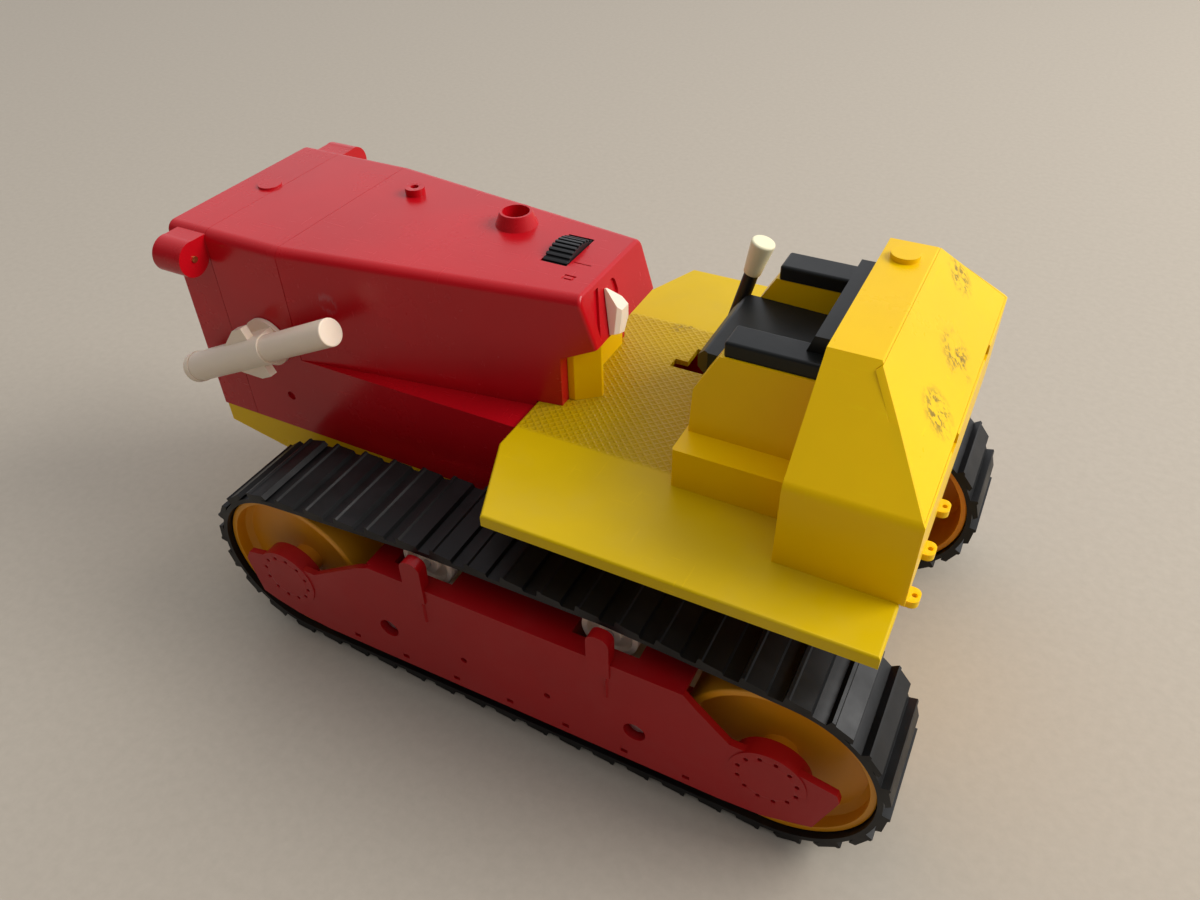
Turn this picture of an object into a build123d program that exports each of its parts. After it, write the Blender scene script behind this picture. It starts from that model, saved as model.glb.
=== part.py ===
from build123d import *
from math import acos, atan2, cos, degrees, hypot, pi, radians, sin
import os

os.makedirs("parts", exist_ok=True)

# Frame: +Z up, z = 0 on the ground, y = 0 on the centre plane.
# The bulldozer faces -X and its left side is -Y. All sizes in millimetres.
# Pieces are drawn with x = 0 midway between the axles. When saved they move
# along X so that the origin comes under the middle of the toy's length.

# Driving dimensions -------------------------------------------------------
wheelbase = 190.0
axle_z = 37.0
wall = 2.0
gap = 0.3
seam = 0.15
running_fit = 0.06

wheel_r = 32.2
wheel_y_in = 52.0
wheel_y_out = 83.0
axle_r = 2.0
front_x = -wheelbase / 2
rear_x = wheelbase / 2

roller_xs = (-33.5, 36.5)
roller_z = 64.2
roller_r = 10.0
roller_y_in = 58.0
roller_y_out = 79.5
roller_pin_r = 1.5

belt_y_in = 50.2
belt_y_out = 85.2
belt_thick = 1.8
grouser_h = axle_z - wheel_r - gap - belt_thick
link_count = 44

frame_y_in = 83.4
frame_y_out = 89.3
flange_in = 54.0
hub_y_out = 89.7
hub_r = 12.6
post_xs = (-48.5, 50.0)
post_z = 32.4
post_r = 5.0

body_half = 40.0
body_front = -164.5
cap_rear = -146.0
nose_rear = -113.0
body_rear = 112.0
pan_top = 64.4
deck_z = 100.4
hood_top = 146.4
pan_floor = 20.0

hood_rear_half = 24.6
hood_rear = -8.7
panel_top_x = -1.8
panel_low = (4.3, 128.0)
overhang_z = 122.0

floor_z = 102.5
platform_half = 84.0
platform_front = -18.0
platform_rear = 117.5
platform_front_half = 51.5
platform_corner_x = -4.9

tank_front = 80.8
tank_rear = 118.7
tank_half = 63.5
tank_top = 158.6
tank_top_rear = 95.9
tank_top_half = 34.6
tank_fold_z = 131.1

lamp_y = 46.5
lamp_z = 138.6
lamp_r = 6.8
lamp_front = -159.5
lamp_rear = -146.2

pivot_x = -127.0
pivot_z = 105.5
cylinder_y = 49.2
cylinder_tilt = 26.0


# The belts touch the ground, so they reach one axle height behind the rear axle.
rear_tip = rear_x + axle_z
centre_shift = -(body_front + rear_tip) / 2


# Helpers ------------------------------------------------------------------
def block(x0, x1, y0, y1, z0, z1):
    solid = Box(abs(x1 - x0), abs(y1 - y0), abs(z1 - z0))
    return Pos((x0 + x1) / 2, (y0 + y1) / 2, (z0 + z1) / 2) * solid


def rod_y(x, z, r, y0, y1):
    return Pos(x, (y0 + y1) / 2, z) * Rot(90, 0, 0) * Cylinder(r, abs(y1 - y0))


def rod_x(y, z, r, x0, x1):
    return Pos((x0 + x1) / 2, y, z) * Rot(0, 90, 0) * Cylinder(r, abs(x1 - x0))


def rod_z(x, y, r, z0, z1):
    return Pos(x, y, (z0 + z1) / 2) * Cylinder(r, abs(z1 - z0))


def side_prism(points, y0, y1):
    """Prism whose outline is drawn in X and Z."""
    face = make_face(Polyline(*[(x, y0, z) for x, z in points], close=True))
    return extrude(face, amount=y1 - y0, dir=(0, 1, 0))


def end_prism(points, x0, x1):
    """Prism whose outline is drawn in Y and Z."""
    face = make_face(Polyline(*[(x0, y, z) for y, z in points], close=True))
    return extrude(face, amount=x1 - x0, dir=(1, 0, 0))


def plan_prism(points, z0, z1):
    """Prism whose outline is drawn in X and Y."""
    face = make_face(Polyline(*[(x, y, z0) for x, y in points], close=True))
    return extrude(face, amount=z1 - z0, dir=(0, 0, 1))


def mirrored(points):
    """Close a half outline (coordinate, half width) across the centre plane."""
    return points + [(a, -b) for a, b in reversed(points)]


def ring_y(profile, x, z):
    """Turn a (radius, y) outline about a Y axis through x, z."""
    face = make_face(Polyline(*[(x + r, y, z) for r, y in profile], close=True))
    return revolve(face, axis=Axis((x, 0, z), (0, 1, 0)))


def right_of(solid):
    return mirror(solid, about=Plane.XZ)


def edges_along(solid, axis, test):
    return solid.edges().filter_by(axis).filter_by(lambda e: test(e.center()))


def save(name, *solids):
    shape = solids[0] if len(solids) == 1 else Compound(list(solids))
    export_step(Pos(centre_shift, 0, 0) * shape, f"parts/{name}.step")


def save_pair(name, left_solid):
    save(name + "_left", left_solid)
    save(name + "_right", right_of(left_solid))


# Track belts --------------------------------------------------------------
# The belt passes round the front wheel, over two carrier rollers and round
# the rear wheel. Circles are listed front to rear along the top.
belt_circles = [
    (front_x, axle_z, wheel_r + gap),
    (roller_xs[0], roller_z, roller_r + gap),
    (roller_xs[1], roller_z, roller_r + gap),
    (rear_x, axle_z, wheel_r + gap),
]


def tangent_normal(a, b):
    """Outward normal angle of the straight run from circle a to circle b."""
    dx = b[0] - a[0]
    dz = b[1] - a[1]
    return atan2(dz, dx) + acos((a[2] - b[2]) / hypot(dx, dz))


def belt_loop(offset):
    circles = [(x, z, r + offset) for x, z, r in belt_circles]
    edges = []
    count = len(circles)
    for i, circle in enumerate(circles):
        before = circles[i - 1]
        after = circles[(i + 1) % count]
        start = tangent_normal(before, circle)
        end = tangent_normal(circle, after)
        while end > start:
            end -= 2 * pi
        x, z, r = circle
        points = [
            (x + r * cos(angle), 0, z + r * sin(angle))
            for angle in (start, (start + end) / 2, end)
        ]
        edges.append(ThreePointArc(*points))
        x2, z2, r2 = after
        leave = (x2 + r2 * cos(end), 0, z2 + r2 * sin(end))
        edges.append(Line(points[2], leave))
    return Wire(edges)


def grouser(wire, fraction):
    """Saw-tooth bar: a ridge at the leading edge, then a falling pad."""
    here = wire.position_at(fraction)
    along = wire.tangent_at(fraction)
    out = Vector(-along.Z, 0, along.X)
    outline = [
        (0.0, -0.6),
        (0.5, grouser_h),
        (1.6, grouser_h),
        (2.1, grouser_h * 0.75),
        (8.4, grouser_h * 0.5),
        (9.2, -0.6),
    ]
    points = [here + along * s + out * h for s, h in outline]
    return make_face(Polyline(*points, close=True))


outer_wire = belt_loop(belt_thick)
belt_face = make_face(outer_wire) - make_face(belt_loop(0.0))
for i in range(link_count):
    belt_face += grouser(outer_wire, i / link_count)
belt = Pos(0, -belt_y_out, 0) * extrude(belt_face, amount=belt_y_out - belt_y_in, dir=(0, 1, 0))
save_pair("belt", belt)


# Wheels, rollers and axles ------------------------------------------------
rim_in = wheel_r - 2.4
web_out = wheel_y_out - 6.4
web_in = web_out - 3.0
hub_tube = 6.0


def wheel(x, bore):
    profile = [
        (bore, -wheel_y_out),
        (hub_tube, -wheel_y_out),
        (hub_tube, -web_out),
        (rim_in - 2.0, -web_out),
        (rim_in, -web_out - 2.0),
        (rim_in, -wheel_y_out),
        (wheel_r - 0.4, -wheel_y_out),
        (wheel_r, -wheel_y_out + 0.4),
        (wheel_r, -wheel_y_in - 0.4),
        (wheel_r - 0.4, -wheel_y_in),
        (rim_in, -wheel_y_in),
        (rim_in, -web_in + 2.0),
        (rim_in - 2.0, -web_in),
        (hub_tube, -web_in),
        (hub_tube, -wheel_y_in),
        (bore, -wheel_y_in),
    ]
    return ring_y(profile, x, axle_z)


save_pair("wheel_front", wheel(front_x, axle_r + running_fit))
save_pair("wheel_rear", wheel(rear_x, axle_r))

for i, x in enumerate(roller_xs):
    bore = roller_pin_r + running_fit
    profile = [
        (bore, -roller_y_out),
        (roller_r * 0.4, -roller_y_out),
        (roller_r * 0.45, -roller_y_out + 2.0),
        (roller_r * 0.75, -roller_y_out + 2.0),
        (roller_r * 0.8, -roller_y_out),
        (roller_r, -roller_y_out),
        (roller_r, -roller_y_in),
        (bore, -roller_y_in),
    ]
    save_pair("roller_" + ("front", "rear")[i], ring_y(profile, x, roller_z))

roller_pins = [
    rod_y(x, roller_z, roller_pin_r, side * flange_in, side * (frame_y_out - 1.0))
    for x in roller_xs
    for side in (-1, 1)
]
save("roller_pins", *roller_pins)

axle_end = frame_y_out - 1.0
save("axle_front", rod_y(front_x, axle_z, axle_r, -axle_end, axle_end))
save("axle_rear", rod_y(rear_x, axle_z, axle_r, -axle_end, axle_end))


# Side frames --------------------------------------------------------------
frame_outline = [
    (-52, 62.2),
    (66, 62.2),
    (70, 58),
    (82, 47),
    (104, 46),
    (116, 43.5),
    (117.2, 40.5),
    (111, 22),
    (95, 16.5),
    (80, 15.5),
    (-80, 15.5),
    (-95, 17.2),
    (-105, 20),
    (-111, 22.5),
    (-114.5, 39),
    (-112, 43.5),
    (-100, 46),
    (-80, 45.5),
    (-58, 59.5),
]
plate_in = frame_y_out - 2.4
top_z = 62.2
bottom_z = 15.5
flange_thick = 2.0
flanges = ((-54.0, 66.0, top_z - flange_thick), (-58.0, 58.0, bottom_z))
roller_pocket = roller_r + 2.0
tab_shift = 1.0
tab_proud = 0.8
post_boss_r = 6.4
post_hole_r = 4.0
screw_head_r = 3.2
screw_shank_r = 1.4
screw_seat_y = frame_y_out - 4.7

frame = side_prism(frame_outline, -frame_y_out, -plate_in)
for x0, x1, z in flanges:
    frame += block(x0, x1, -plate_in - 0.5, -flange_in, z, z + flange_thick)
for x in post_xs:
    frame += rod_y(x, post_z, post_boss_r, -plate_in - 0.5, -frame_y_in)
for x in roller_xs:
    frame -= block(
        x - roller_pocket, x + roller_pocket, -roller_y_out - 3.2, -roller_y_in + 1.5, top_z - 5, top_z + 5
    )
    for side in (-1, 1):
        leg = x + side * (roller_pocket + 1)
        frame += block(leg - 1, leg + 1, -plate_in - 0.5, -flange_in, top_z - 16, top_z - 1)
    frame += block(
        x - roller_pocket, x + roller_pocket, -flange_in - 2, -flange_in, top_z - 16, top_z + 4
    )
    frame -= rod_y(x, roller_z, roller_pin_r, -flange_in - 3, -flange_in + 1)
for x in (front_x, rear_x):
    frame += rod_y(x, axle_z, hub_r, -hub_y_out, -frame_y_in)
    for k in range(12):
        angle = radians(30 * k + 18)
        frame -= rod_y(
            x + 9.8 * cos(angle), axle_z + 9.8 * sin(angle), 0.8, -hub_y_out - 1, -hub_y_out + 1.6
        )
for x in roller_xs:
    mid = x + tab_shift
    tab = block(mid - 4, mid + 4, -frame_y_out - tab_proud, -frame_y_out + 3.4, 56.0, 74.2)
    tab = fillet(edges_along(tab, Axis.Y, lambda c: c.Z > 74), 3.4)
    rib_root = -frame_y_out + 1
    rib_plan = [(mid + 1.6, rib_root), (mid + 2.8, -frame_y_out - tab_proud), (mid + 4, rib_root)]
    rib = plan_prism(rib_plan, 46, 57)
    frame += tab + rib
    frame -= rod_y(x, roller_z, roller_pin_r, -axle_end, -frame_y_out + 4)
for x in post_xs:
    frame -= rod_y(x, post_z, post_hole_r, -frame_y_out - 1, -screw_seat_y)
    frame -= rod_y(x, post_z, screw_shank_r, -frame_y_out, -frame_y_in + 1)
for x in (-16.3, 17.3):
    frame -= rod_y(x, 32.0, 1.3, -frame_y_out - 1, -frame_y_out + 1.8)
for k in range(7):
    x = 22.4 * (k - 3) + 1.5
    frame -= block(x - 1.3, x + 1.3, -frame_y_out - 1, -frame_y_out + 1.2, 18.4, 20.2)
for x in (front_x, rear_x):
    frame -= rod_y(x, axle_z, axle_r + running_fit, -axle_end - 0.2, -frame_y_in + 1)
save_pair("side_frame", frame)

frame_screws = []
for x in post_xs:
    for side in (-1, 1):
        head = rod_y(x, post_z, screw_head_r, side * screw_seat_y, side * (screw_seat_y + 2.0))
        head -= block(x - 2.4, x + 2.4, side * (screw_seat_y + 1), side * 90, post_z - 0.4, post_z + 0.4)
        shank = rod_y(x, post_z, screw_shank_r, side * (screw_seat_y - 20), side * screw_seat_y)
        frame_screws.append(head + shank)
save("frame_screws", *frame_screws)


# Chassis pan --------------------------------------------------------------
pan_outline = [
    (body_front + 2, pan_top),
    (body_front + 2, 56.0),
    (-132, 50),
    (-117, pan_floor),
    (106, pan_floor),
    (body_rear, pan_floor + 8),
    (body_rear, pan_top),
]
pan_inner = [
    (body_front + 2 + wall, pan_top + 1),
    (body_front + 2 + wall, 57.7),
    (-130.8, 51.8),
    (-115.8, pan_floor + wall),
    (105.2, pan_floor + wall),
    (body_rear - wall, pan_floor + 8.8),
    (body_rear - wall, pan_top + 1),
]
body_screw_xs = (-105.0, 36.0, 107.0)
body_screw_y = 34.7
screw_boss_r = 4.0
body_screw_seat = pan_top - 4.0

pan = side_prism(pan_outline, -body_half, body_half)
pan = fillet(edges_along(pan, Axis.X, lambda c: c.Z < pan_floor + 1), 2.0)
pan -= side_prism(pan_inner, -body_half + wall, body_half - wall)
for side in (-1, 1):
    for x in post_xs:
        pan += rod_y(x, post_z, post_r, side * (body_half - wall), side * frame_y_in)
        pan -= rod_y(x, post_z, screw_shank_r, side * (frame_y_in - 20), side * (frame_y_in + 1))
    for x in (front_x, rear_x):
        pan += rod_y(x, axle_z, 6.5, side * (body_half - wall - 2), side * (body_half + 6))
        fit = running_fit if x == rear_x else 0.0
        pan -= rod_y(x, axle_z, axle_r + fit, side * (body_half - 6), side * (body_half + 7))
    for x in body_screw_xs:
        y = side * body_screw_y
        bottom = pan_floor + 1 if x < 100 else pan_floor + 4
        pan += rod_z(x, y, screw_boss_r, bottom, pan_top)
        pan -= rod_z(x, y, 2.7, 0, body_screw_seat)
        pan -= rod_z(x, y, screw_shank_r, body_screw_seat - 1, pan_top + 1)
save("chassis_pan", pan)

body_screws = []
for x in body_screw_xs:
    for side in (-1, 1):
        y = side * body_screw_y
        head = rod_z(x, y, 2.6, body_screw_seat - 1.8, body_screw_seat)
        shank = rod_z(x, y, screw_shank_r, body_screw_seat, pan_top + 10)
        body_screws.append(head + shank)
save("body_screws", *body_screws)


# Lower body with raised nose ---------------------------------------------
battery_x = (82.9, 104.9)
battery_half = 31.0
battery_z = (74.0, 141.0)
lever_x = 26.3
lever_y = 22.0
lever_pivot_z = 88.0
pocket_x = (12.0, 37.0)
pocket_y = (11.0, 33.0)
pocket_floor = 82.0


def body_block(inset):
    front = cap_rear + inset
    bottom = pan_top - 2 * inset
    half = body_half - inset
    solid = block(front, body_rear - inset, -half, half, bottom, deck_z - inset)
    nose = block(front, nose_rear - inset, -half, half, bottom, hood_top - inset)
    return solid + nose


body = body_block(0.0)
body = fillet(edges_along(body, Axis.X, lambda c: c.Z > hood_top - 0.1), 4.0)
body -= body_block(wall)
body += block(pocket_x[0], pocket_x[1], pocket_y[0], pocket_y[1], pocket_floor, deck_z)
body -= block(
    pocket_x[0] + 1.5,
    pocket_x[1] - 1.5,
    pocket_y[0] + 1.5,
    pocket_y[1] - 1.5,
    pocket_floor + 1.5,
    deck_z + 1,
)
body -= rod_y(lever_x, lever_pivot_z, 1.5, pocket_y[0] - 1, pocket_y[1] + 1)
body -= block(battery_x[0] - 0.4, battery_x[1] + 0.4, -31.4, 31.4, deck_z - 5, deck_z + 1)
body -= block(-100, -30, -20, 20, deck_z - 5, deck_z + 1)
for side in (-1, 1):
    for x in body_screw_xs:
        y = side * body_screw_y
        body += rod_z(x, y, screw_boss_r, pan_top, deck_z - 1)
        body -= rod_z(x, y, screw_shank_r, pan_top - 1, pan_top + 11)
    body -= rod_y(pivot_x, pivot_z, 3.0 + running_fit, side * 30, side * 41)
    body -= rod_y(-123.4, 80.6, 1.9, side * (body_half - 1.2), side * 41)
save("lower_body", body)


# Radiator end cap with lamp housings -------------------------------------
lens_r = 5.2
cap = block(body_front, cap_rear - seam, -body_half, body_half, pan_top, hood_top)
cap = fillet(edges_along(cap, Axis.X, lambda c: c.Z > hood_top - 0.1), 4.0)
cap = fillet(cap.faces().sort_by(Axis.X)[0].edges(), 1.0)
cap_half = body_half - wall
cap -= block(body_front + wall, cap_rear + 1, -cap_half, cap_half, pan_top - 1, hood_top - wall)
grille_half = 28.0
grille_z = (74.0, 128.0)
cap -= block(body_front - 1, body_front + 1.2, -grille_half, grille_half, *grille_z)
bar_count = 9
for k in range(bar_count):
    y = grille_half * (2 * (k + 1) / (bar_count + 1) - 1)
    cap += block(body_front + 0.3, body_front + 1.2, y - 0.9, y + 0.9, *grille_z)
for side in (-1, 1):
    y = side * lamp_y
    housing = rod_x(y, lamp_z, lamp_r, lamp_front, lamp_rear)
    bridge = block(lamp_front, lamp_rear, side * (body_half - 1), y, lamp_z - 3, lamp_z + lamp_r - 0.2)
    cap += (housing + bridge) - block(-170, -140, -body_half + wall, body_half - wall, 100, hood_top)
    cap -= rod_x(y, lamp_z, lens_r, lamp_front - 1, lamp_rear - 3) - block(
        -170, -140, -body_half, body_half, 100, hood_top
    )
    cap -= rod_x(y, lamp_z, 1.2, lamp_rear - 4, lamp_rear + 1)
cap += rod_z(-151.0, 1.0, 4.6, hood_top - 1, hood_top + 0.8)
save("radiator_cap", cap)

for side, name in ((-1, "left"), (1, "right")):
    y = side * lamp_y
    lens = rod_x(y, lamp_z, lens_r - 0.1, lamp_front + 1.0, lamp_front + 5.0)
    lens = fillet(lens.edges().sort_by(Axis.X)[0], 1.5)
    lens -= block(-170, -140, -body_half - 0.1, body_half + 0.1, 100, 150)
    save("lamp_lens_" + name, lens)
lamp_contacts = [
    rod_x(side * lamp_y, lamp_z, 1.2, lamp_front + 5.0, lamp_rear + 0.5) for side in (-1, 1)
]
save("lamp_contacts", *lamp_contacts)


# Hood ---------------------------------------------------------------------
panel_rise = hood_top - panel_low[1]
panel_run = panel_low[0] - panel_top_x
panel_len = hypot(panel_rise, panel_run)
panel_out = Vector(panel_rise, 0, panel_run) * (1 / panel_len)
panel = Plane(origin=(panel_low[0], 0, panel_low[1]), x_dir=(0, 1, 0), z_dir=panel_out)

thumb_x = (-25.2, -15.1)
thumb_y = 3.9
thumb_r = 17.5
thumb_z = hood_top + 2.8 - thumb_r


def hood_block(inset):
    front = nose_rear + (inset if inset else seam)
    low = deck_z - inset
    side = [
        (front, low),
        (platform_front - 0.3, low),
        (platform_front - 0.3, floor_z - inset),
        (hood_rear - inset, floor_z - inset),
        (hood_rear - inset, overhang_z + inset * 0.7),
        (panel_low[0] - inset * 1.2, panel_low[1] + inset * 0.6),
        (panel_top_x - inset, hood_top - inset),
        (front, hood_top - inset),
    ]
    solid = side_prism(side, -50, 50)
    taper_run = (body_half - hood_rear_half) / (hood_rear - nose_rear)
    end_half = hood_rear_half - taper_run * (10 - hood_rear)
    plan = [(nose_rear - 1, body_half - inset), (10, end_half - inset)]
    return solid & plan_prism(mirrored(plan), deck_z - inset, hood_top + 1)


hood = hood_block(0.0)
long_top = hood.edges().filter_by(lambda e: e.center().Z > hood_top - 0.1 and e.length > 80)
hood = fillet(long_top, 3.6)
rear_corners = hood.edges().filter_by(
    lambda e: abs(e.center().X - 1.2) < 2 and 130 < e.center().Z < 142 and e.length > 8
)
hood = fillet(rear_corners, 1.6)
hood -= hood_block(wall)

# Exhaust socket and air-intake funnel stand on the top of the hood.
exhaust = (-94.5, 18.9)
exhaust_bore = 1.6
exhaust_top = hood_top + 2.8
intake = (-46.3, 13.6)
intake_bore = 5.0
intake_h = 5.9
intake_top = hood_top + 4.9
hood += rod_z(exhaust[0], exhaust[1], 3.8, hood_top - 1, exhaust_top)
hood -= rod_z(exhaust[0], exhaust[1], exhaust_bore, hood_top - 0.5, exhaust_top + 1)
funnel = Pos(intake[0], intake[1], intake_top - intake_h / 2) * Cone(8.2, 5.9, intake_h)
hood += funnel
hood -= rod_z(intake[0], intake[1], intake_bore, hood_top - 0.5, intake_top + 1)

# Thumbwheel window, and bearing cheeks for its pin.
hood -= rod_x(thumb_y, thumb_z, thumb_r + 0.5, thumb_x[0], thumb_x[1])
for x in (thumb_x[0] - 2.2, thumb_x[1] + 0.6):
    hood += block(x, x + 1.6, thumb_y - 4, thumb_y + 4, thumb_z - 4, hood_top - 1)
hood -= rod_x(thumb_y, thumb_z, 1.5, thumb_x[0] - 3, thumb_x[1] + 3)

# Engraved marks by the thumbwheel.
mark = block(-13.0, -8.6, -14.2, -11.2, hood_top - 0.35, hood_top + 1)
mark -= block(-12.2, -9.4, -13.4, -12.0, hood_top - 1, hood_top + 2)
hood -= mark
hood -= block(-14.4, -7.6, -3.1, -2.6, hood_top - 0.35, hood_top + 1)

# Recesses of the control panel: the two positions that the lever points at.
lever_u = -9.0
lever_v = 3.0
wedge = make_face(Polyline((-17.6, 17.0), (-10.8, 17.0), (-18.3, 2.4), close=True))
hood -= extrude(panel * wedge, amount=-0.9)
window = Pos(-2.0, 12.6) * RectangleRounded(4.4, 6.2, 1.9)
hood -= extrude(panel * window, amount=-0.9)
pivot_boss = Pos(lever_u, lever_v) * Circle(3.2)
hood += extrude(panel * pivot_boss, amount=-5)
hood -= extrude(panel * (Pos(lever_u, lever_v) * Circle(1.5 + running_fit)), amount=-6)
save("hood", hood)

thumbwheel = rod_x(thumb_y, thumb_z, thumb_r - 0.8, thumb_x[0] + 0.4, thumb_x[1] - 0.4)
rib_count = 48
for k in range(rib_count):
    rib = block(thumb_x[0] + 0.4, thumb_x[1] - 0.4, -0.6, 0.6, thumb_r - 1.4, thumb_r)
    thumbwheel += Pos(0, thumb_y, thumb_z) * Rot(360 * k / rib_count, 0, 0) * rib
thumbwheel -= rod_x(thumb_y, thumb_z, 1.5 + running_fit, thumb_x[0] - 1, thumb_x[1] + 1)
save("thumbwheel", thumbwheel)
save("thumbwheel_pin", rod_x(thumb_y, thumb_z, 1.5, thumb_x[0] - 2.2, thumb_x[1] + 2.2))

# Wedge-shaped gear lever, pivoted low on the sloping control panel. Its side
# view is drawn as height up the panel and distance out from it.
knob_side = []
for up, out in ((-2.0, gap), (-2.0, 2.7), (7.5, 5.4), (15.0, 1.0), (15.0, gap)):
    corner = panel.from_local_coords(Vector(0, up, out))
    knob_side.append((corner.X, corner.Z))
knob = side_prism(knob_side, lever_u - 5, lever_u + 5)
knob_outline = [(-4.4, 0.7), (0.4, -0.8), (4.0, 3.3), (4.5, 10.3), (1.6, 15.0), (0.9, 15.0)]
knob_face = Polyline(*[(lever_u + across, up) for across, up in knob_outline], close=True)
knob &= extrude(panel * make_face(knob_face), amount=8)
left_ridge = panel.from_local_coords(Vector(lever_u - 2.9, 4.1, 4.4))
edge = knob.edges().sort_by(lambda e: (e.center() - left_ridge).length)[0]
knob = chamfer(edge, 1.4)
lever_pin = panel * (Pos(lever_u, lever_v) * Circle(1.5))
knob += extrude(lever_pin, amount=-5.5) + extrude(lever_pin, amount=1.0)
save("gear_lever", knob)


# Operator platform --------------------------------------------------------
plate_plan = [
    (platform_front, platform_front_half),
    (platform_corner_x, platform_half),
    (platform_rear, platform_half),
]
lip = 2.4
lip_plan = [
    (platform_front + lip, platform_front_half - lip * 0.6),
    (platform_corner_x + lip * 0.6, platform_half - lip),
    (platform_rear - lip, platform_half - lip),
]
platform = plan_prism(mirrored(plate_plan), deck_z, floor_z)
rim = plan_prism(mirrored(plate_plan), floor_z - 4.4, floor_z)
rim -= plan_prism(mirrored(lip_plan), floor_z - 6, floor_z + 1)
rim -= block(-30, 130, -body_half - 0.2, body_half + 0.2, 80, deck_z)
platform += rim
top_rim = platform.faces().sort_by(Axis.Z)[-1].outer_wire().edges()
platform = fillet(top_rim, 1.0)
gate_front = (15.0, 28.0, 13.9, 19.0)
gate_rear = (20.0, 34.0, 18.5, 28.4)
for x0, x1, y0, y1 in (gate_front, gate_rear):
    platform -= block(x0, x1, y0, y1, deck_z - 5, floor_z + 1)
platform -= block(battery_x[0] - 0.4, battery_x[1] + 0.4, -31.4, 31.4, deck_z - 1, floor_z + 1)
platform -= block(tank_rear - 1.4, 130, -tank_half - 0.1, tank_half + 0.1, 80, floor_z + 1)
save("platform", platform)

# Wall that closes the hood's rear end, with one raked cheek at its left.
dash_wall = 1.5
dash_plan = [
    (hood_rear, -19.8),
    (-6.3, -19.8),
    (1.2, -13.7),
    (1.2, -13.7 + dash_wall),
    (-7.0, -19.8 + dash_wall),
    (hood_rear + dash_wall, -19.8 + dash_wall),
    (hood_rear + dash_wall, 19.8),
    (hood_rear, 19.8),
]
dash = plan_prism(dash_plan, floor_z, 130)
dash_side = [(hood_rear, floor_z), (hood_rear, overhang_z), (1.2, 126.4), (1.2, floor_z)]
dash &= side_prism(dash_side, -25, 25)
save("dash_bulkhead", dash)


# Seat ---------------------------------------------------------------------
pedestal_front = 41.5
step_z = 117.0
step_half = 46.0
arm_z = 144.0
cushion_half = 19.5
cushion_low = 128.0

pedestal = block(pedestal_front, tank_front, -step_half, step_half, floor_z, step_z)
pedestal = fillet(edges_along(pedestal, Axis.Z, lambda c: c.X < 45), 1.0)
upper_side = [
    (pedestal_front + 1, floor_z),
    (pedestal_front + 1, 131.5),
    (49.5, arm_z),
    (tank_front, arm_z),
    (tank_front, floor_z),
]
upper_end = mirrored([(arm_z, 31.2), (step_z, 35.4), (floor_z, 35.4)])
upper = side_prism(upper_side, -40, 40) & end_prism([(b, a) for a, b in upper_end], 30, 90)
pedestal += upper
pedestal -= block(30, tank_front + 1, -cushion_half - 0.1, cushion_half + 0.1, cushion_low, 160)
pedestal -= block(pedestal_front + 3, tank_front + 1, -33, 33, floor_z - 1, cushion_low - 2.5)
save("seat_pedestal", pedestal)

cushion_side = [
    (36.8, 127.2),
    (36.6, 131.5),
    (40.2, 136.0),
    (70.0, 135.0),
    (79.6, 135.0),
    (79.6, cushion_low),
    (42.0, cushion_low),
    (41.0, 127.2),
]
seat = side_prism(cushion_side, -cushion_half, cushion_half)
seat &= plan_prism(mirrored([(36, 14.6), (41.5, cushion_half), (80, cushion_half)]), 120, 140)
back_half = 24.6
back_side = [(67.5, 133.0), (75.0, 154.5), (79.6, 154.5), (79.6, 133.0)]
backrest = side_prism(back_side, -cushion_half, cushion_half)
upper_back = side_prism(back_side, -back_half, back_half) & block(60, 90, -30, 30, arm_z + 0.2, 160)
seat += backrest + upper_back
seat = fillet(edges_along(seat, Axis.Y, lambda c: c.X < 41 and c.Z > 131), 2.0)
for side in (-1, 1):
    arm = block(50.3, 79.6, side * cushion_half, side * 30.4, arm_z, arm_z + 5.0)
    arm = fillet(arm.edges().filter_by(lambda e: e.center().X < 51 or e.center().Z > arm_z + 4.9), 1.0)
    seat += arm
save("seat", seat)


# Rear tank and battery cover ---------------------------------------------
cover_thick = 2.0
cover_margin = 0.8
cover_gap = 0.12
cover_side_margin = 1.2
slope_run = tank_rear - tank_top_rear
slope_drop = tank_top - tank_fold_z
slope_len = hypot(slope_run, slope_drop)


def tank_block(inset):
    shift = inset * (slope_len - slope_run) / slope_drop
    side = [
        (tank_front + inset, floor_z - (5 if inset else 0)),
        (tank_front + inset, tank_top - inset),
        (tank_top_rear - shift, tank_top - inset),
        (tank_rear - inset, tank_fold_z - inset * 0.5),
        (tank_rear - inset, floor_z - (5 if inset else 0)),
    ]
    solid = side_prism(side, -80, 80)
    half = tank_half - inset
    end = [
        (-half, 80),
        (-half, tank_fold_z - inset * 0.5),
        (-tank_top_half + inset * 0.4, tank_top - inset),
        (tank_top_half - inset * 0.4, tank_top - inset),
        (half, tank_fold_z - inset * 0.5),
        (half, 80),
    ]
    return solid & end_prism(end, 50, 140)


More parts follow.
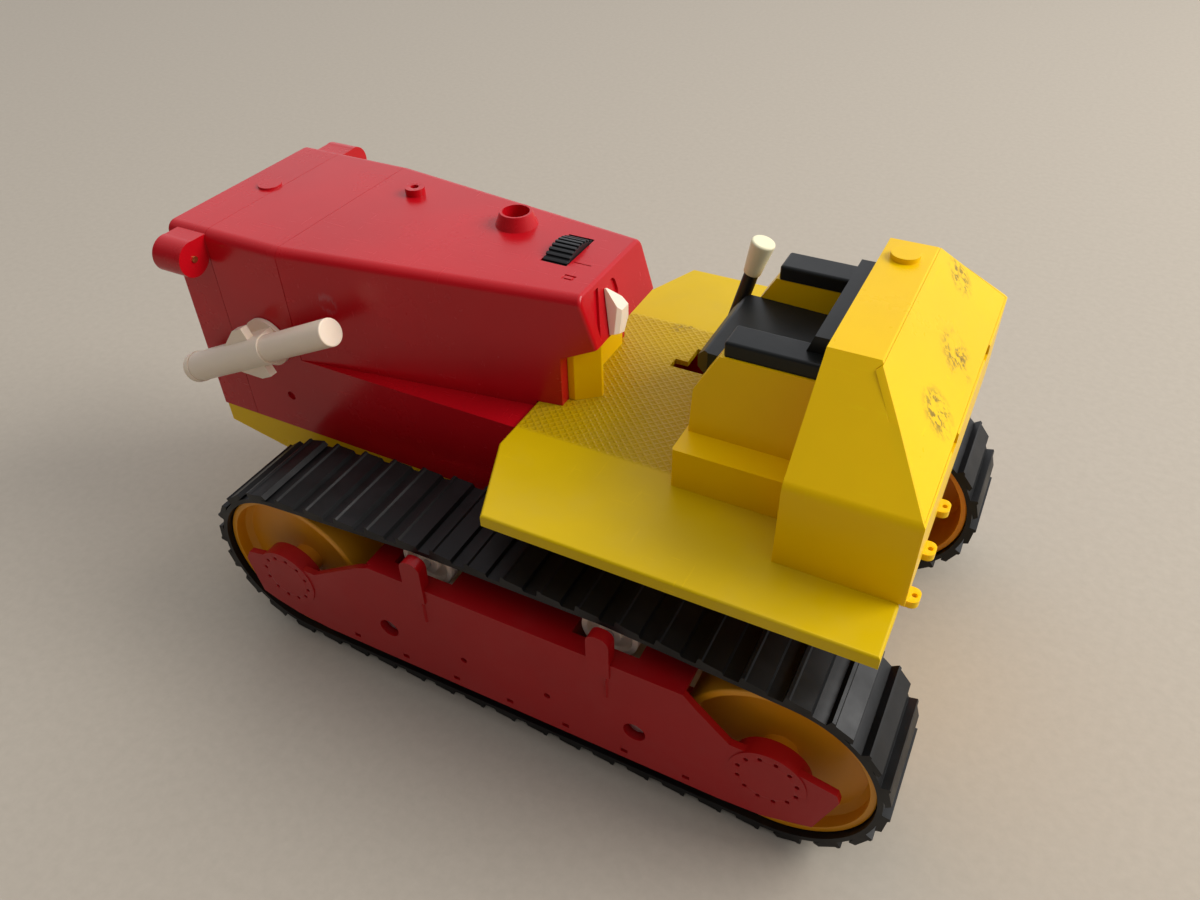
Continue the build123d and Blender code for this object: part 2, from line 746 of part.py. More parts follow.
def slope_slab(depth_out, depth_in, from_top, to_bottom, trim):
    """Slab parallel to the sloping rear face, trimmed at its four edges."""
    nx = slope_drop / slope_len
    nz = slope_run / slope_len
    ux = slope_run / slope_len
    uz = -slope_drop / slope_len
    corners = []
    for s, d in (
        (from_top, depth_out),
        (slope_len - to_bottom, depth_out),
        (slope_len - to_bottom, -depth_in),
        (from_top, -depth_in),
    ):
        corners.append((tank_top_rear + ux * s + nx * d, tank_top + uz * s + nz * d))
    slab = side_prism(corners, -80, 80)
    end = [
        (-tank_half + trim, tank_fold_z - 10),
        (-tank_half + trim, tank_fold_z),
        (-tank_top_half + trim, tank_top + 2),
        (tank_top_half - trim, tank_top + 2),
        (tank_half - trim, tank_fold_z),
        (tank_half - trim, tank_fold_z - 10),
    ]
    return slab & end_prism(end, 80, 140)


tank = tank_block(0.0)
fold_edges = tank.edges().filter_by(Axis.X).filter_by(
    lambda e: abs(e.center().Z - tank_fold_z) < 1
)
tank = fillet(fold_edges, 5.0)
tank -= tank_block(wall)
tank += block(tank_rear - 1.2, tank_rear, -tank_half + 1.6, tank_half - 1.6, floor_z - 2, floor_z + 1)
cover_ledge = slope_slab(-cover_thick, cover_thick + 1.5, 0.8, 0.8, 1.0)
cover_ledge -= slope_slab(1, 6, 4.5, 4.5, 5.6)
tank += cover_ledge & tank_block(0.5)
tank -= slope_slab(2, cover_thick, cover_margin, cover_margin, cover_side_margin)
clip_y = 25.0
clip_half = 4.6
for side in (-1, 1):
    tank -= block(
        tank_rear - 6.0, tank_rear + 1, side * clip_y - clip_half, side * clip_y + clip_half, 128.0, 134.5
    )
cap_x, cap_y, cap_r = 88.1, 23.3, 4.6
tank += rod_z(cap_x, cap_y, cap_r, tank_top - 1, tank_top + 1.8)
lug_ys = (-57.2, -37.2, -17.2)
for y in lug_ys:
    ear = block(tank_rear - 0.5, tank_rear + 3.3, y - 3.1, y + 3.1, 98.9, 101.3)
    ear = fillet(edges_along(ear, Axis.Z, lambda c: c.X > tank_rear + 3), 2.2)
    tank += ear - rod_z(tank_rear + 1.6, y, 0.8, 95, 105)
save("tank", tank)

cover_cut = cover_margin + cover_gap
cover = slope_slab(0.0, cover_thick, cover_cut, cover_cut, cover_side_margin + cover_gap)
for side in (-1, 1):
    clip = block(114.6, 117.4, side * clip_y - 3.6, side * clip_y + 3.6, 130.0, 133.6)
    cover += clip & slope_slab(-0.3, 6.0, cover_cut, -1.0, 4.0)
save("battery_cover", cover)

battery = block(*battery_x, -battery_half, battery_half, *battery_z)
battery = fillet(edges_along(battery, Axis.Z, lambda c: True), 2.0)
save("battery", battery)
strip_z = battery_z[1]
battery_contacts = [
    block(battery_x[0] + 3, battery_x[1] - 6, y - 3, y + 3, strip_z, strip_z + 0.5)
    + block(battery_x[0] + 3, battery_x[0] + 3.5, y - 3, y + 3, strip_z, strip_z + 6)
    for y in (-18, 18)
]
save("battery_contacts", *battery_contacts)


# Floor lever --------------------------------------------------------------
lean = degrees(atan2(0.254, 1.0))
stem_len = 64.7
knob_len = 12.4
lever_frame = Pos(lever_x, lever_y, lever_pivot_z) * Rot(0, lean, 0)
stem = lever_frame * Pos(0, 0, stem_len / 2) * Cylinder(2.5, stem_len)
stem += rod_y(lever_x, lever_pivot_z, 3.6, lever_y - 3, lever_y + 3)
stem -= rod_y(lever_x, lever_pivot_z, 1.5 + running_fit, lever_y - 5, lever_y + 5)
stem_cut = lever_frame * Pos(0, 0, stem_len - 8 + 10) * (Cylinder(4, 20) - Cylinder(1.8, 20))
stem -= stem_cut
save("floor_lever_stem", stem)
knob = lever_frame * Pos(0, 0, stem_len - 8 + knob_len / 2) * Cone(3.0, 4.2, knob_len)
knob = fillet(knob.edges().sort_by(Axis.Z)[-1], 0.8)
knob -= lever_frame * Pos(0, 0, stem_len - 9) * Cylinder(1.8, 18)
save("floor_lever_knob", knob)
save("floor_lever_pin", rod_y(lever_x, lever_pivot_z, 1.5, pocket_y[0], pocket_y[1]))


# Blade lift cylinders -----------------------------------------------------
# Drawn level along X at the left side, then tilted about the pivot.
sleeve_r = 5.8
rod_r = 5.1
sleeve_span = (-35.0, 11.0)
rod_front = -39.0
rod_rear = 47.0


def tilted(solid):
    return Pos(pivot_x, 0, pivot_z) * Rot(0, -cylinder_tilt, 0) * solid


sleeve = rod_x(-cylinder_y, 0, sleeve_r, *sleeve_span)
fin_h = 4.5
for s in (-1, 1):
    fin_side = [
        (-11.0, s * (sleeve_r - 1)),
        (-11.0, s * (sleeve_r - 0.1)),
        (-1.5, s * (sleeve_r + fin_h)),
        (4.0, s * (sleeve_r + fin_h)),
        (4.0, s * (sleeve_r - 1)),
    ]
    sleeve += side_prism(fin_side, -cylinder_y - 1.6, -cylinder_y + 1.6)
plate = rod_y(0, 0, 9.8, -body_half - 2.0, -body_half - gap)
neck = block(-8, 8, -cylinder_y, -body_half - 1.5, -5.5, 5.5)
spigot = rod_y(0, 0, 3.0, -body_half - 1.0, -body_half + 5.0)
yoke = sleeve + plate + neck + spigot
yoke -= rod_x(-cylinder_y, 0, rod_r + running_fit, -60, 60)
save_pair("lift_yoke", tilted(yoke))

lift_rod = rod_x(-cylinder_y, 0, rod_r, rod_front, rod_rear)
lift_rod = fillet(lift_rod.edges().sort_by(Axis.X)[-1], 0.5)
collar = rod_x(-cylinder_y, 0, sleeve_r + 0.3, rod_front, sleeve_span[0] - gap)
collar = fillet(collar.edges().sort_by(Axis.X)[0], 1.2)
lift_rod += collar
save_pair("lift_rod", tilted(lift_rod))


# Motor and gear train -----------------------------------------------------
module = 1.0
axle_teeth = 26
small_teeth = 14
large_teeth = 32
pinion_teeth = 10
final_y = (21.0, 27.0)
first_y = (15.0, 20.0)
plate_ys = (12.0, 28.2)
plate_thick = 1.6
lay_angle = radians(40)
lay_dist = module * (axle_teeth + small_teeth) / 2
lay_x = rear_x - lay_dist * cos(lay_angle)
lay_z = axle_z + lay_dist * sin(lay_angle)
motor_angle = radians(30)
motor_dist = module * (large_teeth + pinion_teeth) / 2
motor_x = lay_x - motor_dist * cos(motor_angle)
motor_z = lay_z + motor_dist * sin(motor_angle)


def gear(x, z, teeth, span, bore, turn):
    """Spur gear with straight-flanked teeth, turned so one tooth points at turn degrees."""
    pitch_r = module * teeth / 2
    root_r = pitch_r - 1.15 * module
    tip_r = pitch_r + 0.85 * module
    half_root = 0.62 * module
    half_pitch = 0.70 * module
    half_tip = 0.34 * module
    length = span[1] - span[0]
    tooth = make_face(
        Polyline(
            (root_r - 0.5, 0, -half_root - 0.45),
            (root_r, 0, -half_root - 0.25),
            (pitch_r, 0, -half_pitch),
            (tip_r, 0, -half_tip),
            (tip_r, 0, half_tip),
            (pitch_r, 0, half_pitch),
            (root_r, 0, half_root + 0.25),
            (root_r - 0.5, 0, half_root + 0.45),
            close=True,
        )
    )
    tooth = extrude(tooth, amount=length, dir=(0, 1, 0))
    solid = rod_y(0, 0, root_r, 0, length)
    for k in range(teeth):
        solid += Rot(0, -(turn + 360 * k / teeth), 0) * tooth
    solid -= rod_y(0, 0, bore, -1, length + 1)
    return Pos(x, span[0], z) * solid


# Each pair meshes a tooth of one gear with a space of the other.
to_axle = degrees(atan2(axle_z - lay_z, rear_x - lay_x))
from_axle = to_axle + 180
to_motor = degrees(atan2(motor_z - lay_z, motor_x - lay_x))
lay_r = 1.5
save("axle_gear", gear(rear_x, axle_z, axle_teeth, final_y, axle_r, from_axle))
small_gear = gear(lay_x, lay_z, small_teeth, final_y, lay_r + running_fit, to_axle + 180 / small_teeth)
large_gear = gear(lay_x, lay_z, large_teeth, first_y, lay_r + running_fit, to_motor)
lay_hub = rod_y(lay_x, lay_z, 3.0, first_y[1] - 0.5, final_y[0] + 0.5)
lay_hub -= rod_y(lay_x, lay_z, lay_r + running_fit, 0, 40)
save("lay_gear", small_gear + large_gear + lay_hub)
save("lay_shaft", rod_y(lay_x, lay_z, lay_r, plate_ys[0], plate_ys[1] + plate_thick))
motor_shaft_r = 1.0
pinion_turn = to_motor + 180 + 180 / pinion_teeth
save("motor_pinion", gear(motor_x, motor_z, pinion_teeth, first_y, motor_shaft_r, pinion_turn))
motor_r = 12.0
motor = rod_y(motor_x, motor_z, motor_r, -24, plate_ys[0])
motor = fillet(motor.edges().sort_by(Axis.Y)[0], 1.5)
motor += rod_y(motor_x, motor_z, 4, -27, -23)
motor -= rod_y(motor_x, motor_z, motor_shaft_r + running_fit, plate_ys[0] - 6, plate_ys[0] + 1)
save("drive_motor", motor)
save("motor_shaft", rod_y(motor_x, motor_z, motor_shaft_r, plate_ys[0] - 5, first_y[1] + 1))

plate_outline = [
    (motor_x - 15, pan_floor + wall),
    (motor_x - 15, motor_z + 12),
    (motor_x + 12, motor_z + 12),
    (rear_x + 8, axle_z + 10),
    (rear_x + 8, pan_floor + wall),
]
plates = []
for y in plate_ys:
    solid = side_prism(plate_outline, y, y + plate_thick)
    solid -= rod_y(lay_x, lay_z, lay_r, y - 1, y + 5)
    solid -= rod_y(rear_x, axle_z, axle_r + 0.6, y - 1, y + 5)
    solid -= rod_y(motor_x, motor_z, 3.0, y - 1, y + 5)
    plates.append(solid)
save("gear_plates", *plates)
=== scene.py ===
import math

import bpy
from mathutils import Matrix, Vector


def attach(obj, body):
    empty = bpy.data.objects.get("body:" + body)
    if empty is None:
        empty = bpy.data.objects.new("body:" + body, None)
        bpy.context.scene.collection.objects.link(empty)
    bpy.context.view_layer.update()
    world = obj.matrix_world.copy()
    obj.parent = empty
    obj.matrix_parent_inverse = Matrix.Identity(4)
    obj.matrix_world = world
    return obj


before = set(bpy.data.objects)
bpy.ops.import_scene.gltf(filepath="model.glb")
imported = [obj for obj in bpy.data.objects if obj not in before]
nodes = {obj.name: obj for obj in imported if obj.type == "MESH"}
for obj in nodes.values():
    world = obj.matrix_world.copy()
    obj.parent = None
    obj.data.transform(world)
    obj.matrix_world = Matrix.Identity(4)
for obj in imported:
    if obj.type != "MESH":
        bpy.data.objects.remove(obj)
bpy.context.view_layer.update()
MM = 0.001

# The frame's origin is under the middle of the toy's length. The places in
# this script are given from the point midway between the axles, in millimetres.
AXLE_MID = 16.25


def at(x, y, z):
    return Vector((x + AXLE_MID, y, z)) * MM


# A colour mix node keeps its colour sockets after its number and vector ones.
COLOR_A, COLOR_B, COLOR_RESULT = 6, 7, 2

# Height of the fine grain that a mould leaves in plastic, in metres.
GRAIN_DEPTH = 0.00002


# Materials ----------------------------------------------------------------
class Graph:
    """A few short calls for wiring one material's nodes."""

    def __init__(self, name):
        self.material = bpy.data.materials.new(name)
        self.material.use_nodes = True
        self.tree = self.material.node_tree
        self.shader = self.tree.nodes["Principled BSDF"]
        coords = self.add("ShaderNodeTexCoord")
        self.place = coords.outputs["Object"]

    def add(self, kind, **settings):
        node = self.tree.nodes.new(kind)
        for key, value in settings.items():
            setattr(node, key, value)
        return node

    def put(self, socket, value):
        if isinstance(value, bpy.types.NodeSocket):
            self.tree.links.new(value, socket)
        else:
            socket.default_value = value

    def noise(self, scale, detail=3.0, rough=0.55, stretch=None, place=None):
        node = self.add("ShaderNodeTexNoise")
        where = place if place is not None else self.place
        if stretch:
            shape = self.add("ShaderNodeMapping")
            self.put(shape.inputs["Vector"], where)
            shape.inputs["Scale"].default_value = stretch
            where = shape.outputs["Vector"]
        self.put(node.inputs["Vector"], where)
        node.inputs["Scale"].default_value = scale
        node.inputs["Detail"].default_value = detail
        node.inputs["Roughness"].default_value = rough
        return node.outputs["Fac"]

    def ramp(self, value, low, high, out_low=0.0, out_high=1.0):
        node = self.add("ShaderNodeMapRange")
        self.put(node.inputs["Value"], value)
        node.inputs["From Min"].default_value = low
        node.inputs["From Max"].default_value = high
        node.inputs["To Min"].default_value = out_low
        node.inputs["To Max"].default_value = out_high
        return node.outputs["Result"]

    def math(self, operation, a, b=0.0):
        node = self.add("ShaderNodeMath", operation=operation)
        self.put(node.inputs[0], a)
        self.put(node.inputs[1], b)
        return node.outputs["Value"]

    def mix(self, factor, a, b):
        node = self.add("ShaderNodeMix", data_type="RGBA")
        self.put(node.inputs["Factor"], factor)
        self.put(node.inputs[COLOR_A], a)
        self.put(node.inputs[COLOR_B], b)
        return node.outputs[COLOR_RESULT]

    def bump(self, height, distance, strength=1.0, below=None):
        node = self.add("ShaderNodeBump")
        node.inputs["Strength"].default_value = strength
        node.inputs["Distance"].default_value = distance
        self.put(node.inputs["Height"], height)
        if below is not None:
            self.put(node.inputs["Normal"], below)
        return node.outputs["Normal"]

    def near(self, centre, radius, soft):
        """1 inside a ball round a place on the object, falling to 0 at its edge."""
        gap = self.add("ShaderNodeVectorMath", operation="DISTANCE")
        self.put(gap.inputs[0], self.place)
        gap.inputs[1].default_value = at(*centre)
        return self.ramp(gap.outputs["Value"], radius * MM, (radius - soft) * MM)

    def axis(self, name):
        parts = self.add("ShaderNodeSeparateXYZ")
        self.put(parts.inputs["Vector"], self.place)
        return parts.outputs[name]

    def between(self, value, low, high, soft):
        """1 where a value lies between two limits, falling to 0 outside them."""
        rise = self.ramp(value, low - soft, low)
        fall = self.ramp(value, high + soft, high)
        return self.math("MULTIPLY", rise, fall)


def shade(color, k):
    return tuple(min(1.0, c * k) for c in color[:3]) + (1.0,)


def plastic(name, color, rough, spread=0.12, scratches=0.25, shine=0.34, scatter=0.0):
    """Moulded toy plastic: slow colour drift, a faint moulding texture, fine scratches and handling haze."""
    g = Graph(name)
    base = tuple(color) + (1.0,)
    drift = g.ramp(g.noise(14.0, 4.0), 0.35, 0.65)
    tint = g.mix(drift, shade(base, 1.0 - spread), shade(base, 1.0 + spread))
    fine = g.noise(420.0, 2.0, 0.6)
    lines_a = g.ramp(g.noise(60.0, 6.0, 0.7, stretch=(1.0, 14.0, 4.0)), 0.62, 0.66)
    lines_b = g.ramp(g.noise(46.0, 6.0, 0.7, stretch=(12.0, 1.0, 3.0)), 0.63, 0.67)
    marks = g.math("MAXIMUM", lines_a, lines_b)
    worn = g.math("MULTIPLY", marks, g.ramp(g.noise(22.0, 3.0), 0.45, 0.7))
    tint = g.mix(g.math("MULTIPLY", worn, scratches), tint, shade(base, 1.5))
    g.put(g.shader.inputs["Base Color"], tint)
    haze = g.ramp(g.noise(30.0, 5.0, 0.65), 0.3, 0.7, rough * 0.85, rough * 1.25)
    g.put(g.shader.inputs["Roughness"], g.math("ADD", haze, g.math("MULTIPLY", worn, 0.15)))
    moulding = g.bump(fine, GRAIN_DEPTH, 0.5)
    waviness = g.bump(g.noise(38.0, 2.0, 0.4), GRAIN_DEPTH * 5, 0.5, below=moulding)
    g.put(g.shader.inputs["Normal"], waviness)
    g.shader.inputs["IOR"].default_value = 1.5
    g.shader.inputs["Specular IOR Level"].default_value = shine
    if scatter:
        g.shader.inputs["Subsurface Weight"].default_value = scatter
        g.shader.inputs["Subsurface Radius"].default_value = (1.0, 0.6, 0.3)
        g.shader.inputs["Subsurface Scale"].default_value = 0.002
    return g


def add_dust(g, color, amount, threshold=0.5):
    """Lay a thin patchy film of dust over a plastic, duller where it is thick."""
    patches = g.ramp(g.noise(18.0, 6.0, 0.7), threshold, threshold + 0.22)
    film = g.math("MULTIPLY", patches, amount)
    tint = g.shader.inputs["Base Color"].links[0].from_socket
    haze = g.shader.inputs["Roughness"].links[0].from_socket
    g.put(g.shader.inputs["Base Color"], g.mix(film, tint, tuple(color) + (1.0,)))
    g.put(g.shader.inputs["Roughness"], g.math("ADD", haze, g.math("MULTIPLY", film, 0.5)))


def add_smudges(g, spots, color, amount):
    """Speckle small places, each given as centre, radius and softness in millimetres."""
    tint = g.shader.inputs["Base Color"].links[0].from_socket
    patches = g.ramp(g.noise(150.0, 3.0, 0.6), 0.40, 0.50)
    specks = g.ramp(g.noise(620.0, 3.0, 0.65, stretch=(1.0, 1.0, 0.45)), 0.46, 0.54)
    cover = None
    for centre, radius, soft in spots:
        spot = g.near(centre, radius, soft)
        cover = spot if cover is None else g.math("MAXIMUM", cover, spot)
    broken = g.math("MULTIPLY", cover, g.math("MULTIPLY", patches, specks))
    strength = g.math("MULTIPLY", broken, amount)
    g.put(g.shader.inputs["Base Color"], g.mix(strength, tint, tuple(color) + (1.0,)))


def metal(name, color, rough, turned=0.15):
    g = Graph(name)
    base = tuple(color) + (1.0,)
    streaks = g.noise(240.0, 4.0, 0.6, stretch=(1.0, 0.08, 1.0))
    g.put(g.shader.inputs["Base Color"], g.mix(streaks, shade(base, 0.8), shade(base, 1.15)))
    g.put(g.shader.inputs["Roughness"], g.ramp(streaks, 0.3, 0.7, rough * 0.8, rough + turned))
    g.put(g.shader.inputs["Normal"], g.bump(streaks, 0.00002, 0.4))
    g.shader.inputs["Metallic"].default_value = 1.0
    return g


RED = (0.53, 0.003, 0.009)
DULL_RED = (0.36, 0.003, 0.005)
YELLOW = (0.92, 0.56, 0.0)
# Darker yellow for the platform: partly painted shade from the tank and seat, partly dirt.
SHADED_DIRTY_YELLOW = (0.69, 0.46, 0.0)
ORANGE = (0.72, 0.29, 0.004)
WHITE = (0.96, 0.79, 0.62)
CREAM = (0.98, 0.86, 0.58)
SEAT_GREY = (0.009, 0.010, 0.010)
BLACK = (0.012, 0.012, 0.013)
BATTERY_BLUE = (0.05, 0.09, 0.22)
STEEL = (0.55, 0.55, 0.56)
BRASS = (0.72, 0.50, 0.18)
SCUFF = (0.50, 0.20, 0.22)
# Brown for the platform's tread area: painted shadow of the seat and tank, mixed with dirt.
SEAT_SHADOW_AND_DIRT = (0.30, 0.16, 0.0)
DUST = (0.42, 0.39, 0.33)
GRIME = (0.21, 0.13, 0.02)

red = plastic("red_gloss", RED, 0.24, spread=0.07)
hood_scuff = [((-96, -37, 128), 5, 2)]
add_smudges(red, hood_scuff, SCUFF, 0.30)
red_frame = plastic("red_frame", DULL_RED, 0.34, spread=0.08, scratches=0.2, shine=0.26)
add_dust(red_frame, DUST, 0.03, 0.52)
yellow = plastic("yellow_satin", YELLOW, 0.30, spread=0.05, shine=0.16, scatter=0.08)
cover_marks = [((111, 5, 140.4), 10, 6), ((112, -24, 139.2), 9, 5), ((104, 37, 148.8), 8, 5)]
add_smudges(yellow, cover_marks, GRIME, 0.9)
orange = plastic("orange_wheel", ORANGE, 0.34, spread=0.08)
add_dust(orange, DUST, 0.05)
white = plastic("white_satin", WHITE, 0.34, spread=0.04, scratches=0.05, scatter=0.12)
add_dust(white, GRIME, 0.05, 0.52)
cream = plastic("cream_knob", CREAM, 0.42, spread=0.10, scratches=0.05)
grey = plastic("seat_grey", SEAT_GREY, 0.36, spread=0.12, scratches=0.10, shine=0.24)
add_dust(grey, DUST, 0.02)
black = plastic("black_satin", BLACK, 0.42, spread=0.2, scratches=0.06)
steel = metal("steel", STEEL, 0.28)
brass = metal("brass", BRASS, 0.25)
wrap = plastic("battery_wrap", BATTERY_BLUE, 0.35, spread=0.05)


def rubber_material():
    g = Graph("belt_rubber")
    dust = g.ramp(g.noise(26.0, 5.0, 0.65), 0.50, 0.75)
    clean = (0.004, 0.004, 0.004, 1.0)
    dusty = (0.016, 0.016, 0.017, 1.0)
    g.put(g.shader.inputs["Base Color"], g.mix(dust, clean, dusty))
    g.put(g.shader.inputs["Roughness"], g.ramp(g.noise(60.0, 4.0), 0.3, 0.7, 0.36, 0.58))
    g.shader.inputs["Specular IOR Level"].default_value = 0.30
    fine = g.bump(g.noise(700.0, 3.0, 0.6), 0.00004, 0.5)
    waviness = g.bump(g.noise(55.0, 3.0), 0.0003, 0.35, below=fine)
    g.put(g.shader.inputs["Normal"], waviness)
    return g


def lens_material():
    g = Graph("lamp_lens")
    cloudy = (0.86, 0.84, 0.78, 1.0)
    clear = (0.95, 0.95, 0.92, 1.0)
    g.put(g.shader.inputs["Base Color"], g.mix(g.noise(90.0), cloudy, clear))
    g.put(g.shader.inputs["Roughness"], g.ramp(g.noise(200.0), 0.3, 0.7, 0.08, 0.2))
    g.shader.inputs["Transmission Weight"].default_value = 0.6
    g.shader.inputs["IOR"].default_value = 1.49
    return g


def platform_material():
    """Yellow floor plate: moulded diamond tread before and beside the seat, darkened there by painted shadow
    of the seat and tank mixed with dirt.
    """
    pitch = 6.4 * MM
    edge = 2.0 * MM
    front, right, _ = at(-16.0, 40.0, 0.0)
    rear, left, _ = at(39.0, -40.0, 0.0)
    # The platform's base yellow is darker than the tank's: painted shade mixed with dirt.
    g = plastic("platform_yellow", SHADED_DIRTY_YELLOW, 0.36, spread=0.06, shine=0.16)
    x = g.axis("X")
    y = g.axis("Y")
    turn = 2 * math.pi / pitch
    ribs = []
    for operation in ("ADD", "SUBTRACT"):
        wave = g.math("SINE", g.math("MULTIPLY", g.math(operation, x, y), turn))
        ribs.append(g.ramp(g.math("ABSOLUTE", wave), 0.72, 0.98))
    lattice = g.math("MAXIMUM", *ribs)
    across = g.between(y, left, right, edge)
    along = g.between(x, front, rear, edge)
    area = g.math("MULTIPLY", across, along)
    tread = g.math("MULTIPLY", lattice, area)
    below = g.shader.inputs["Normal"].links[0].from_socket
    g.put(g.shader.inputs["Normal"], g.bump(tread, 0.00025, 0.8, below=below))
    tint = g.shader.inputs["Base Color"].links[0].from_socket
    # Painted shadow of the seat and tank, mixed with dirt: the tread area is darkened towards brown, and the
    # ribs are rubbed a little clean.
    shadow_and_dirt = g.math("MULTIPLY", area, 0.42)
    rubbed_clean = g.math("MULTIPLY", tread, 0.06)
    shadow_and_dirt_left = g.math("SUBTRACT", shadow_and_dirt, rubbed_clean)
    g.put(g.shader.inputs["Base Color"], g.mix(shadow_and_dirt_left, tint, SEAT_SHADOW_AND_DIRT + (1.0,)))
    add_dust(g, DUST, 0.05, 0.46)
    spots = [((8, 39, 102), 4, 3), ((12, 41, 102), 2, 1), ((38, -12, 102), 3, 2)]
    add_smudges(g, spots, GRIME, 0.7)
    return g


rubber = rubber_material()
platform = platform_material()
lens = lens_material()

looks = {
    "lower_body": red,
    "radiator_cap": red,
    "hood": red,
    "side_frame_left": red_frame,
    "side_frame_right": red_frame,
    "chassis_pan": yellow,
    "platform": platform,
    "dash_bulkhead": yellow,
    "seat_pedestal": yellow,
    "tank": yellow,
    "battery_cover": yellow,
    "seat": grey,
    "thumbwheel": black,
    "floor_lever_stem": black,
    "floor_lever_knob": cream,
    "gear_lever": white,
    "lay_gear": white,
    "axle_gear": white,
    "belt_left": rubber,
    "belt_right": rubber,
    "lamp_lens_left": lens,
    "lamp_lens_right": lens,
    "lamp_contacts": brass,
    "battery_contacts": brass,
    "motor_pinion": brass,
    "battery": wrap,
}
for name in nodes:
    if name.startswith("wheel_"):
        looks[name] = orange
    elif name.startswith(("roller_front", "roller_rear", "lift_")):
        looks[name] = white
    elif name not in looks:
        looks[name] = steel

# Radius of the rounded edges of each piece, in millimetres, where it isn't the usual one.
USUAL_BEVEL = 0.2
bevels = {
    "belt_left": 0.25,
    "belt_right": 0.25,
    "platform": 0.5,
    "seat": 1.0,
    "tank": 0.9,
    "battery_cover": 0.1,
    "seat_pedestal": 0.8,
    "hood": 0.5,
    "lower_body": 0.5,
    "radiator_cap": 0.5,
    "side_frame_left": 0.35,
    "side_frame_right": 0.35,
    "gear_lever": 0.5,
}


WELD_GAP = 0.000002
HARD_EDGE = math.radians(34)


def finish_node(name, node):
    """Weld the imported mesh, round its hard edges and give it its look."""
    node.data.materials.clear()
    node.data.materials.append(looks[name].material)
    for face in node.data.polygons:
        face.use_smooth = True
        face.material_index = 0
    if "custom_normal" in node.data.attributes:
        node.data.attributes.remove(node.data.attributes["custom_normal"])
    weld = node.modifiers.new("weld", "WELD")
    weld.merge_threshold = WELD_GAP
    bevel = node.modifiers.new("edges", "BEVEL")
    bevel.width = bevels.get(name, USUAL_BEVEL) * MM
    bevel.segments = 2
    bevel.limit_method = "ANGLE"
    bevel.angle_limit = HARD_EDGE
    bevel.use_clamp_overlap = True
    normals = node.modifiers.new("normals", "WEIGHTED_NORMAL")
    normals.mode = "FACE_AREA_WITH_ANGLE"
    normals.keep_sharp = False


for name, node in nodes.items():
    finish_node(name, node)


# Small pieces -------------------------------------------------------------
def lathe(name, profile, foot, lean):
    """Turn a (radius, height) outline about an axis that leans back from its foot, in millimetres."""
    steps = 40
    points = []
    faces = []
    tilt = Matrix.Rotation(lean, 3, "Y")
    for k in range(steps):
        angle = 2 * math.pi * k / steps
        for radius, height in profile:
            spot = Vector((radius * math.cos(angle), radius * math.sin(angle), height))
            points.append(at(*(tilt @ spot + Vector(foot))))
    count = len(profile)
    for k in range(steps):
        here = k * count
        there = (k + 1) % steps * count
        for i in range(count):
            j = (i + 1) % count
            faces.append((here + i, there + i, there + j, here + j))
    mesh = bpy.data.meshes.new(name)
    mesh.from_pydata(points, [], faces)
    mesh.update()
    for face in mesh.polygons:
        face.use_smooth = True
    piece = bpy.data.objects.new(name, mesh)
    bpy.context.scene.collection.objects.link(piece)
    bevel = piece.modifiers.new("edges", "BEVEL")
    bevel.width = 0.15 * MM
    bevel.segments = 2
    return piece


# Bush pushed onto the floor lever just above the floor slot. Its outline is a list of
# radius and height above the pivot, along the lever, which leans back by its slope.
lever_pivot = (26.3, 22.0, 88.0)
lever_slope = 0.254
lever_lean = math.atan(lever_slope)
bush_bore = 2.45
bush_outline = [(bush_bore, 16.6), (4.0, 16.6), (3.7, 18.4), (bush_bore, 18.8)]
collar = lathe("floor_lever_collar", bush_outline, lever_pivot, lever_lean)
collar.data.materials.append(cream.material)
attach(collar, "floor_lever")


# Stage --------------------------------------------------------------------
def floor():
    """A plain pale floor, six metres across."""
    g = Graph("floor")
    speck = g.noise(260.0, 4.0, 0.6)
    dark = (0.44, 0.385, 0.310, 1.0)
    pale = (0.52, 0.46, 0.375, 1.0)
    g.put(g.shader.inputs["Base Color"], g.mix(speck, dark, pale))
    g.shader.inputs["Roughness"].default_value = 0.9
    mesh = bpy.data.meshes.new("floor")
    half = 3.0
    corners = [(-half, -half, 0), (half, -half, 0), (half, half, 0), (-half, half, 0)]
    mesh.from_pydata(corners, [], [(0, 1, 2, 3)])
    mesh.materials.append(g.material)
    ground = bpy.data.objects.new("floor", mesh)
    bpy.context.scene.collection.objects.link(ground)


floor()


def area_light(name, place, aim, size, power, color):
    data = bpy.data.lights.new(name, "AREA")
    data.shape = "RECTANGLE"
    data.size, data.size_y = size
    data.energy = power
    data.color = color
    light = bpy.data.objects.new(name, data)
    light.location = place
    light.rotation_mode = "QUATERNION"
    light.rotation_quaternion = (Vector(aim) - Vector(place)).to_track_quat("-Z", "Y")
    bpy.context.scene.collection.objects.link(light)


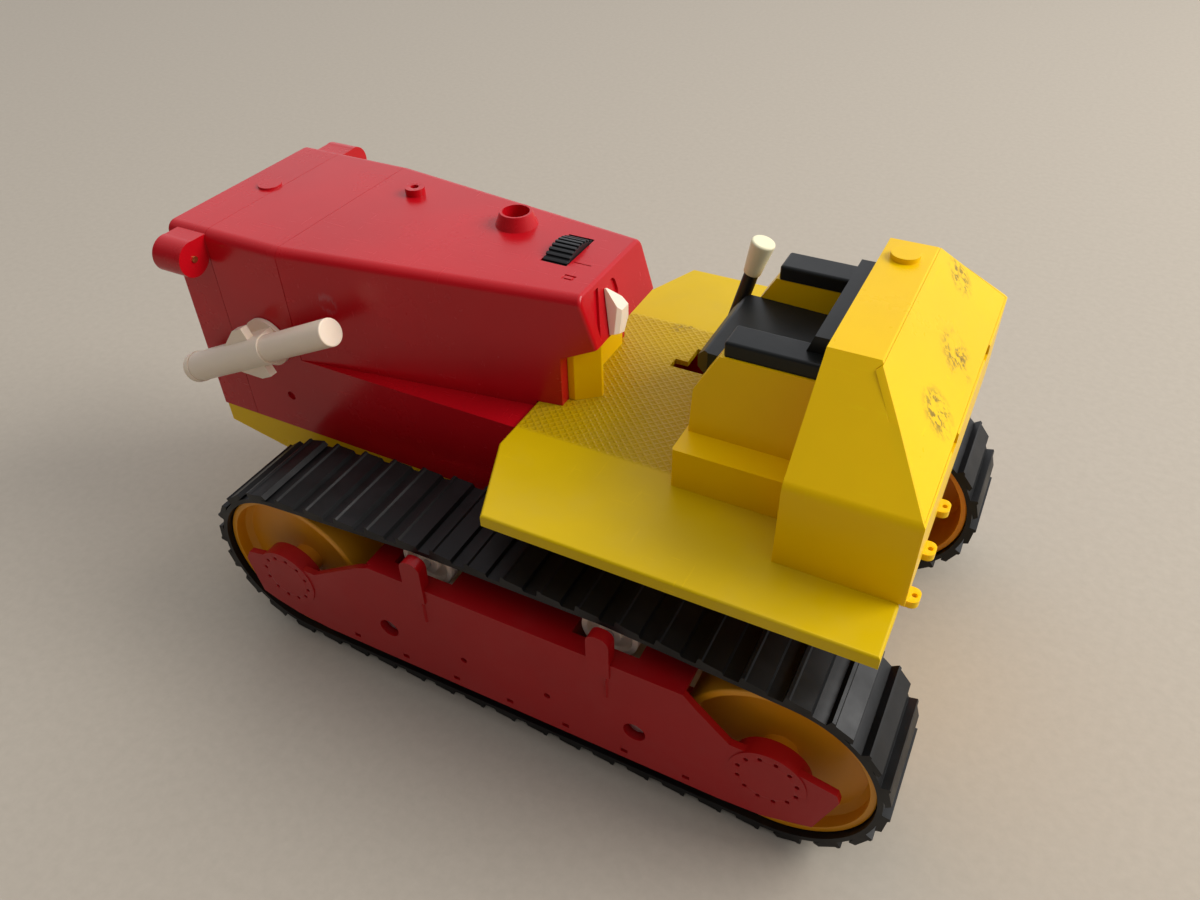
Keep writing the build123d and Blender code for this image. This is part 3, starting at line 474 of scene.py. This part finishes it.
area_light(
    "window",
    place=(1.5, 0.7, 1.3),
    aim=(0.0, 0.0, 0.08),
    size=(1.2, 1.0),
    power=30.0,
    color=(1.0, 0.98, 0.95),
)


def soft_room():
    """Daylight from the far side and above; the side behind the camera stays dim."""
    world = bpy.data.worlds.new("soft_room")
    world.use_nodes = True
    tree = world.node_tree
    coords = tree.nodes.new("ShaderNodeTexCoord")
    toward = tree.nodes.new("ShaderNodeVectorMath")
    toward.operation = "DOT_PRODUCT"
    toward.inputs[1].default_value = Vector((0.15, 0.80, 0.58)).normalized()
    level = tree.nodes.new("ShaderNodeMapRange")
    level.inputs["From Min"].default_value = -0.35
    level.inputs["From Max"].default_value = 0.9
    level.inputs["To Min"].default_value = 0.13
    level.inputs["To Max"].default_value = 1.10
    sky = tree.nodes["Background"]
    sky.inputs["Color"].default_value = (0.95, 0.96, 1.0, 1.0)
    tree.links.new(coords.outputs["Generated"], toward.inputs[0])
    tree.links.new(toward.outputs["Value"], level.inputs["Value"])
    tree.links.new(level.outputs["Result"], sky.inputs["Strength"])
    bpy.context.scene.world = world


soft_room()
bpy.context.scene.view_settings.view_transform = "Standard"


# Camera -------------------------------------------------------------------
def camera(place, azimuth, elevation, roll, lens_mm):
    """Look along an azimuth from the -Y side and down by an elevation, in degrees."""
    az, el, turn = (math.radians(v) for v in (azimuth, elevation, roll))
    back = Vector((math.sin(az) * math.cos(el), -math.cos(az) * math.cos(el), math.sin(el)))
    level = Vector((math.cos(az), math.sin(az), 0))
    upright = back.cross(level)
    right = level * math.cos(turn) + upright * math.sin(turn)
    up = upright * math.cos(turn) - level * math.sin(turn)
    data = bpy.data.cameras.new("camera")
    data.lens = lens_mm
    data.sensor_width = 36.0
    data.clip_start = 0.01
    data.clip_end = 20.0
    shot = bpy.data.objects.new("camera", data)
    axes = Matrix((right, up, back)).transposed().to_4x4()
    shot.matrix_world = Matrix.Translation(place) @ axes
    bpy.context.scene.collection.objects.link(shot)
    bpy.context.scene.camera = shot


camera(
    place=at(126.895, -252.985, 302.294),
    azimuth=27.973,
    elevation=39.681,
    roll=-1.4005,
    lens_mm=28.617,
)
